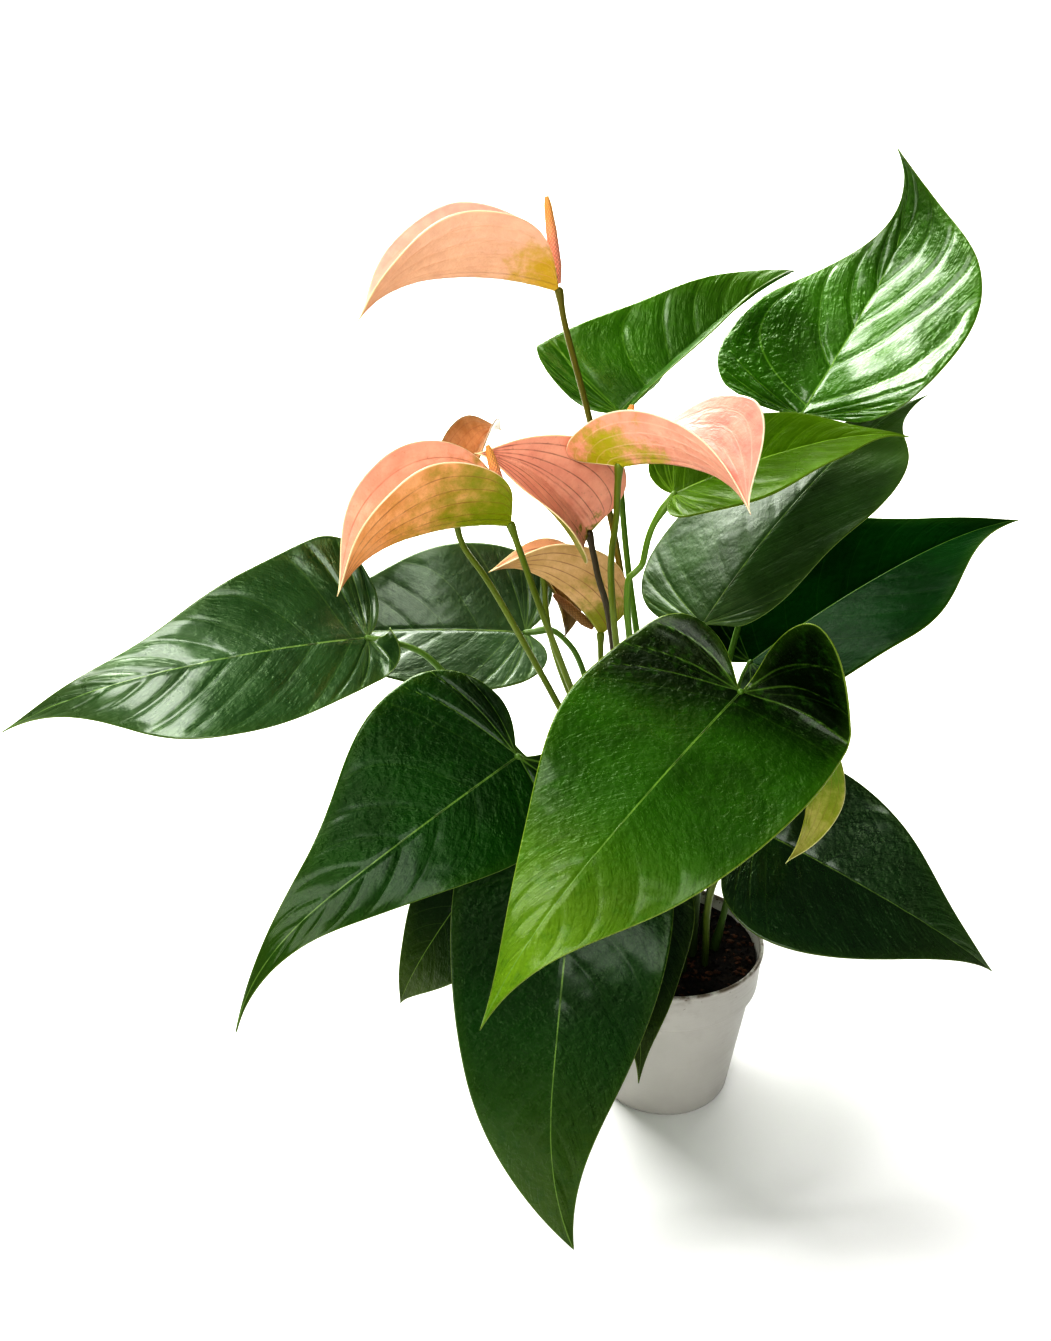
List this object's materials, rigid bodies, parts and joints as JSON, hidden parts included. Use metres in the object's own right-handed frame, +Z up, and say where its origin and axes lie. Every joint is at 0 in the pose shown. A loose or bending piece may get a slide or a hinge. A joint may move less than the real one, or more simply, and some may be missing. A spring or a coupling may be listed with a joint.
{
  "type": "potted anthurium",
  "caption": "Potted anthurium: glossy heart-shaped leaves and folded peach spathes on long stems, standing in soil in a plain white plastic pot.",
  "frame": {"origin": "centre of the flat underside of the pot, on the surface it stands on", "axes": "+Z up, -Y towards the side that the plant shows best, +X to the right seen from that side"},
  "size_m": [0.5893, 0.4607, 0.5641],
  "materials": {
    "pot": "satin",
    "soil": "matte",
    "leaf_green": "gloss",
    "leaf_dark": "gloss",
    "leaf_bright": "gloss",
    "spathe_peach": "satin",
    "spathe_aged": "satin",
    "flower_stem": "satin",
    "spadix": "matte"
  },
  "bodies": {
    "root": {"pot": "pot", "soil": "soil", "leaf_front": "leaf_green", "leaf_lower_left": "leaf_green", "leaf_big_right": "leaf_green", "leaf_far_left": "leaf_green", "leaf_left_rear": "leaf_green", "leaf_hanging": "leaf_dark", "leaf_hanging_rear": "leaf_dark", "leaf_low_left": "leaf_dark", "leaf_low_right": "leaf_dark", "leaf_mid_right": "leaf_dark", "leaf_rear": "leaf_dark", "leaf_top_right": "leaf_bright", "leaf_top_middle": "leaf_bright", "leaf_young": "leaf_bright", "spathe_top": "spathe_peach", "spathe_left": "spathe_peach", "spathe_centre": "spathe_peach", "spathe_right": "spathe_peach", "spathe_low": "spathe_peach", "spathe_left_rear": "spathe_aged", "spathe_faded": "spathe_aged", "spathe_spent": "spathe_aged", "flower_stem_top": "flower_stem", "flower_stem_left": "flower_stem", "flower_stem_left_rear": "flower_stem", "flower_stem_centre": "flower_stem", "flower_stem_right": "flower_stem", "flower_stem_low": "flower_stem", "flower_stem_faded": "flower_stem", "flower_stem_spent": "flower_stem", "spadix_top": "spadix", "spadix_left": "spadix", "spadix_left_rear": "spadix", "spadix_centre": "spadix", "spadix_right": "spadix", "spadix_low": "spadix", "spadix_faded": "spadix", "spadix_spent": "spadix"}
  },
  "joints": []
}
